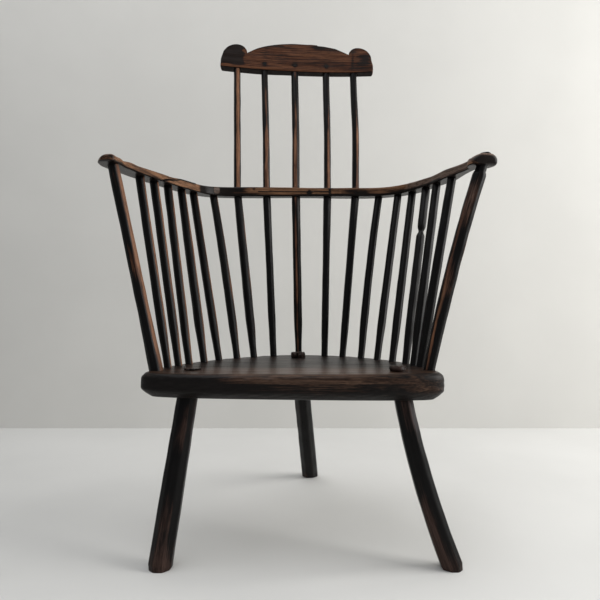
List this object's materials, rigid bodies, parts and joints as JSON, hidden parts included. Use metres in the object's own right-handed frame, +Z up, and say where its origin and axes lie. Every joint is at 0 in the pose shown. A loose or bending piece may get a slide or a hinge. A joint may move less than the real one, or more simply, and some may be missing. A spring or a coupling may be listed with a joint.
{
  "type": "comb-back chair",
  "caption": "Three-legged comb-back stick chair with a thick half-round seat, an arm bow with one flat and one knobbed hand, and a comb with round ears.",
  "frame": {"origin": "on the floor under the middle of the chair, at the bottom centre of its box", "axes": "+Z up, +X to the right as seen from the front, +Y towards the back; the sitter faces -Y"},
  "size_m": [0.7016, 0.5612, 1.0675],
  "materials": {
    "seat_wood": "waxed, worn, nearly black brown",
    "leg_wood": "dark, waxed",
    "wedge_wood": "worn end grain",
    "post_left_wood": "rubbed brown, waxed",
    "post_right_wood": "dark, rubbed brown on one face",
    "arm_wood": "rubbed mid brown, waxed",
    "stick_wood": "dark, waxed",
    "long_stick_wood": "brown, waxed",
    "comb_wood": "rubbed brown, waxed",
    "peg_wood": "dark end grain"
  },
  "bodies": {
    "root": {"seat": "seat_wood", "leg_left": "leg_wood", "leg_right": "leg_wood", "leg_rear": "leg_wood", "leg_wedge_left": "wedge_wood", "leg_wedge_right": "wedge_wood", "leg_wedge_rear": "wedge_wood", "post_left": "post_left_wood", "post_right": "post_right_wood", "arm_left": "arm_wood", "arm_back": "arm_wood", "arm_right": "arm_wood", "comb": "comb_wood", "comb_peg_left": "peg_wood", "comb_peg_centre": "peg_wood", "comb_peg_right": "peg_wood", "arm_peg": "peg_wood", "long_stick_centre": "long_stick_wood", "long_stick_left_1": "long_stick_wood", "long_stick_left_2": "long_stick_wood", "short_stick_left_1": "stick_wood", "short_stick_left_2": "stick_wood", "short_stick_left_3": "stick_wood", "short_stick_left_4": "stick_wood", "short_stick_left_5": "stick_wood", "short_stick_left_6": "stick_wood", "long_stick_right_1": "long_stick_wood", "long_stick_right_2": "long_stick_wood", "short_stick_right_1": "stick_wood", "short_stick_right_2": "stick_wood", "short_stick_right_3": "stick_wood", "short_stick_right_4": "stick_wood", "short_stick_right_5": "stick_wood", "short_stick_right_6": "stick_wood"}
  },
  "joints": []
}
